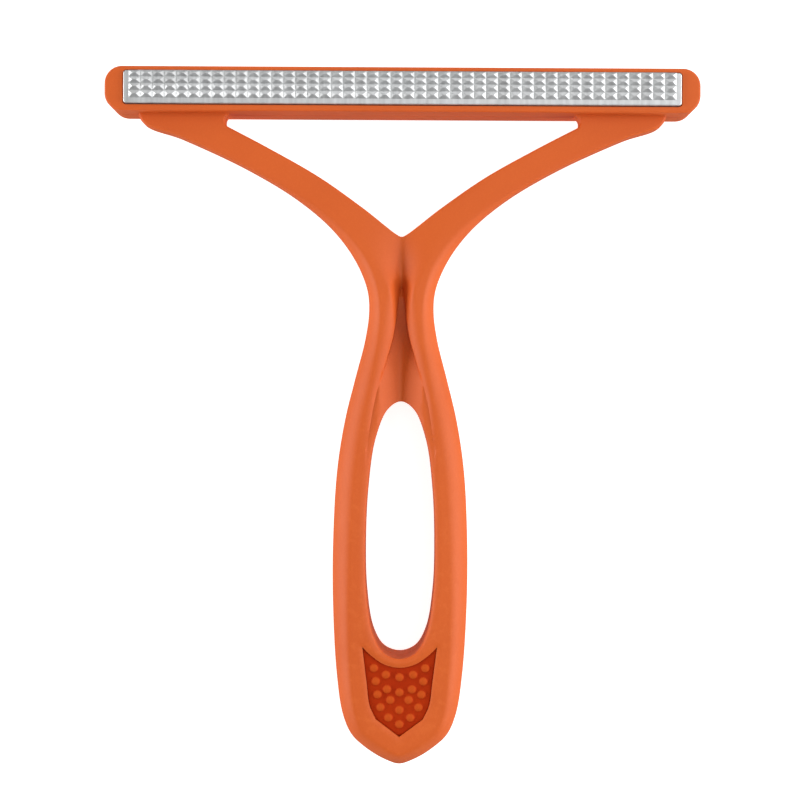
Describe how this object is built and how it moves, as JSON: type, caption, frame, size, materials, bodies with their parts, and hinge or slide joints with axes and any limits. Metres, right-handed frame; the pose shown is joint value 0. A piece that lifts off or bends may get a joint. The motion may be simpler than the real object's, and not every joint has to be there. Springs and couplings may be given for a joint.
{
  "type": "deshedding tool",
  "caption": "Flat two-sided pet deshedding scraper: a straight head bar with toothed metal strips on two arms that join a looped handle with dimpled grip pads.",
  "frame": {"origin": "centre of the bounding box on the surface that the tool lies on", "axes": "+Y from the handle's tip to the head bar, +X along the head bar, +Z out of the front face"},
  "size_m": [0.163, 0.1916, 0.016],
  "materials": {
    "orange_plastic": "satin moulded orange plastic",
    "toothed_metal": "bright cut aluminium teeth",
    "bond_film": "thin dark bonding film",
    "grip_pad": "soft darker orange pad with raised nubs",
    "screw_steel": "plain steel"
  },
  "bodies": {
    "root": {"front_shell": "orange_plastic", "rear_shell": "orange_plastic", "front_toothed_strip": "toothed_metal", "rear_toothed_strip": "toothed_metal", "front_strip_adhesive": "bond_film", "rear_strip_adhesive": "bond_film", "front_grip_pad": "grip_pad", "rear_grip_pad": "grip_pad", "bar_screw_1": "screw_steel", "bar_screw_2": "screw_steel", "bar_screw_3": "screw_steel", "bar_screw_4": "screw_steel", "handle_screw": "screw_steel"}
  },
  "joints": []
}
